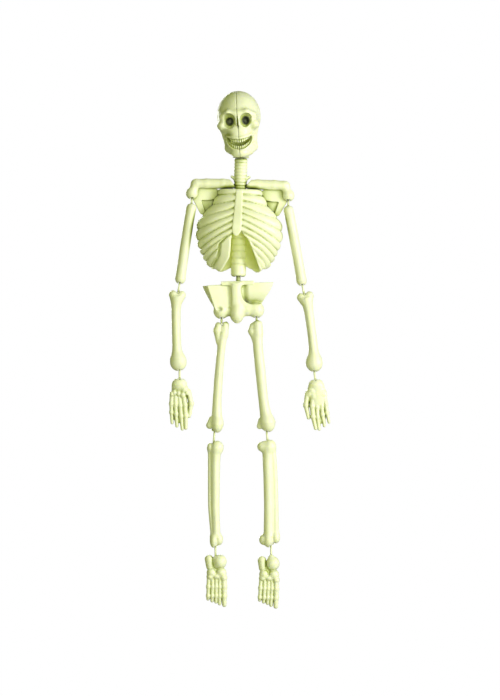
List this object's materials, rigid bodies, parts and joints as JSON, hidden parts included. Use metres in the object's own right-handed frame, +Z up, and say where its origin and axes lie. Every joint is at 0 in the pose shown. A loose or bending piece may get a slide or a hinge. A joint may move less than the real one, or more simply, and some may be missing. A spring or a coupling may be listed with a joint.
{
  "type": "hanging skeleton figure",
  "caption": "Hanging jointed skeleton decoration in pale glow-in-the-dark plastic: hollow half-shell bones on small T-bar links, held by a string hole in the crown.",
  "frame": {"origin": "mouth of the string hole on the crown of the skull", "axes": "+Z up along the hanging figure, +Y towards its back, +X towards its own left arm"},
  "size_m": [0.269, 0.0895, 0.8971],
  "materials": {
    "bones": "satin moulded",
    "links": "satin moulded"
  },
  "bodies": {
    "skull": {"skull_left": "bones", "skull_right": "bones"},
    "torso": {"spine_front": "bones", "spine_back": "bones", "rib_cage_front": "bones", "rib_cage_back": "bones", "collar_bone_left": "bones", "collar_bone_right": "bones", "shoulder_blade_left": "bones", "shoulder_blade_right": "bones"},
    "waist_link": {"waist_link": "links"},
    "pelvis": {"pelvis_front": "bones", "pelvis_back": "bones"},
    "shoulder_link_left": {"shoulder_link_left": "links"},
    "upper_arm_left": {"upper_arm_left_inner": "bones", "upper_arm_left_outer": "bones"},
    "elbow_link_left": {"elbow_link_left": "links"},
    "forearm_left": {"forearm_left_inner": "bones", "forearm_left_outer": "bones"},
    "wrist_link_left": {"wrist_link_left": "links"},
    "hand_left": {"hand_left": "bones"},
    "hip_link_left": {"hip_link_left": "links"},
    "thigh_left": {"thigh_left_inner": "bones", "thigh_left_outer": "bones"},
    "knee_link_left": {"knee_link_left": "links"},
    "shin_left": {"shin_left_inner": "bones", "shin_left_outer": "bones"},
    "ankle_link_left": {"ankle_link_left": "links"},
    "foot_left": {"foot_left": "bones"},
    "shoulder_link_right": {"shoulder_link_right": "links"},
    "upper_arm_right": {"upper_arm_right_inner": "bones", "upper_arm_right_outer": "bones"},
    "elbow_link_right": {"elbow_link_right": "links"},
    "forearm_right": {"forearm_right_inner": "bones", "forearm_right_outer": "bones"},
    "wrist_link_right": {"wrist_link_right": "links"},
    "hand_right": {"hand_right": "bones"},
    "hip_link_right": {"hip_link_right": "links"},
    "thigh_right": {"thigh_right_inner": "bones", "thigh_right_outer": "bones"},
    "knee_link_right": {"knee_link_right": "links"},
    "shin_right": {"shin_right_inner": "bones", "shin_right_outer": "bones"},
    "ankle_link_right": {"ankle_link_right": "links"},
    "foot_right": {"foot_right": "bones"}
  },
  "joints": [
    {"name": "neck_turn", "type": "hinge", "parent": "skull", "child": "torso", "pos_m": [0.00785, 0, -0.11223], "axis": [0.0227, 0, 0.9997], "range_deg": [-60, 60]},
    {"name": "waist_bend", "type": "hinge", "parent": "torso", "child": "waist_link", "pos_m": [0.00324, 0, -0.31537], "axis": [0.9997, 0, -0.0227], "range_deg": [-25, 25]},
    {"name": "waist_sway", "type": "hinge", "parent": "waist_link", "child": "pelvis", "pos_m": [0.00278, 0, -0.33537], "axis": [0, 1, 0], "range_deg": [-8, 4]},
    {"name": "shoulder_swing_left", "type": "hinge", "parent": "torso", "child": "shoulder_link_left", "pos_m": [0.08972, 0, -0.1847], "axis": [-0.9997, 0, 0.0227], "range_deg": [-36, 38]},
    {"name": "shoulder_side_left", "type": "hinge", "parent": "shoulder_link_left", "child": "upper_arm_left", "pos_m": [0.0893, 0, -0.2032], "axis": [0, 1, 0], "range_deg": [-21, 4]},
    {"name": "elbow_swing_left", "type": "hinge", "parent": "upper_arm_left", "child": "elbow_link_left", "pos_m": [0.11299, 0, -0.33102], "axis": [-0.9833, 0, -0.1822], "range_deg": [-36, 38]},
    {"name": "elbow_side_left", "type": "hinge", "parent": "elbow_link_left", "child": "forearm_left", "pos_m": [0.11695, 0, -0.35236], "axis": [0, 1, 0], "range_deg": [-22, 7]},
    {"name": "wrist_swing_left", "type": "hinge", "parent": "forearm_left", "child": "wrist_link_left", "pos_m": [0.13392, 0, -0.48124], "axis": [-0.9914, 0, -0.1305], "range_deg": [-36, 38]},
    {"name": "wrist_side_left", "type": "hinge", "parent": "wrist_link_left", "child": "hand_left", "pos_m": [0.13676, 0, -0.50286], "axis": [0, 1, 0], "range_deg": [-20, 12]},
    {"name": "hip_swing_left", "type": "hinge", "parent": "pelvis", "child": "hip_link_left", "pos_m": [0.03441, 0, -0.38556], "axis": [0.9997, 0, 0.0262], "range_deg": [-38, 30]},
    {"name": "hip_side_left", "type": "hinge", "parent": "hip_link_left", "child": "thigh_left", "pos_m": [0.03483, 0, -0.40155], "axis": [0, 1, 0], "range_deg": [-11, 6]},
    {"name": "knee_swing_left", "type": "hinge", "parent": "thigh_left", "child": "knee_link_left", "pos_m": [0.05182, 0, -0.58477], "axis": [0.9957, 0, 0.0924], "range_deg": [-38, 38]},
    {"name": "knee_side_left", "type": "hinge", "parent": "knee_link_left", "child": "shin_left", "pos_m": [0.05404, 0, -0.60866], "axis": [0, 1, 0], "range_deg": [-20, 6]},
    {"name": "ankle_swing_left", "type": "hinge", "parent": "shin_left", "child": "ankle_link_left", "pos_m": [0.05951, 0, -0.78258], "axis": [0.9995, 0, 0.0314], "range_deg": [-38, 38]},
    {"name": "ankle_side_left", "type": "hinge", "parent": "ankle_link_left", "child": "foot_left", "pos_m": [0.06033, 0, -0.80886], "axis": [0, 1, 0], "range_deg": [-20, 20]},
    {"name": "shoulder_swing_right", "type": "hinge", "parent": "torso", "child": "shoulder_link_right", "pos_m": [-0.07723, 0, -0.18091], "axis": [-0.9997, 0, 0.0227], "range_deg": [-36, 38]},
    {"name": "shoulder_side_right", "type": "hinge", "parent": "shoulder_link_right", "child": "upper_arm_right", "pos_m": [-0.07765, 0, -0.19941], "axis": [0, 1, 0], "range_deg": [-3, 22]},
    {"name": "elbow_swing_right", "type": "hinge", "parent": "upper_arm_right", "child": "elbow_link_right", "pos_m": [-0.09754, 0, -0.32788], "axis": [-0.9882, 0, 0.153], "range_deg": [-36, 38]},
    {"name": "elbow_side_right", "type": "hinge", "parent": "elbow_link_right", "child": "forearm_right", "pos_m": [-0.10086, 0, -0.34932], "axis": [0, 1, 0], "range_deg": [-4, 22]},
    {"name": "wrist_swing_right", "type": "hinge", "parent": "forearm_right", "child": "wrist_link_right", "pos_m": [-0.09859, 0, -0.4793], "axis": [-0.9998, 0, -0.0175], "range_deg": [-36, 38]},
    {"name": "wrist_side_right", "type": "hinge", "parent": "wrist_link_right", "child": "hand_right", "pos_m": [-0.09821, 0, -0.5011], "axis": [0, 1, 0], "range_deg": [-8, 20]},
    {"name": "hip_swing_right", "type": "hinge", "parent": "pelvis", "child": "hip_link_right", "pos_m": [-0.02617, 0, -0.38714], "axis": [0.9997, 0, 0.0262], "range_deg": [-38, 30]},
    {"name": "hip_side_right", "type": "hinge", "parent": "hip_link_right", "child": "thigh_right", "pos_m": [-0.02575, 0, -0.40314], "axis": [0, 1, 0], "range_deg": [-6, 4]},
    {"name": "knee_swing_right", "type": "hinge", "parent": "thigh_right", "child": "knee_link_right", "pos_m": [-0.03795, 0, -0.58673], "axis": [0.9978, 0, -0.0663], "range_deg": [-38, 38]},
    {"name": "knee_side_right", "type": "hinge", "parent": "knee_link_right", "child": "shin_right", "pos_m": [-0.03954, 0, -0.61068], "axis": [0, 1, 0], "range_deg": [-6, 20]},
    {"name": "ankle_swing_right", "type": "hinge", "parent": "shin_right", "child": "ankle_link_right", "pos_m": [-0.0365, 0, -0.78465], "axis": [0.9998, 0, 0.0175], "range_deg": [-38, 38]},
    {"name": "ankle_side_right", "type": "hinge", "parent": "ankle_link_right", "child": "foot_right", "pos_m": [-0.03604, 0, -0.81095], "axis": [0, 1, 0], "range_deg": [-20, 20]}
  ]
}
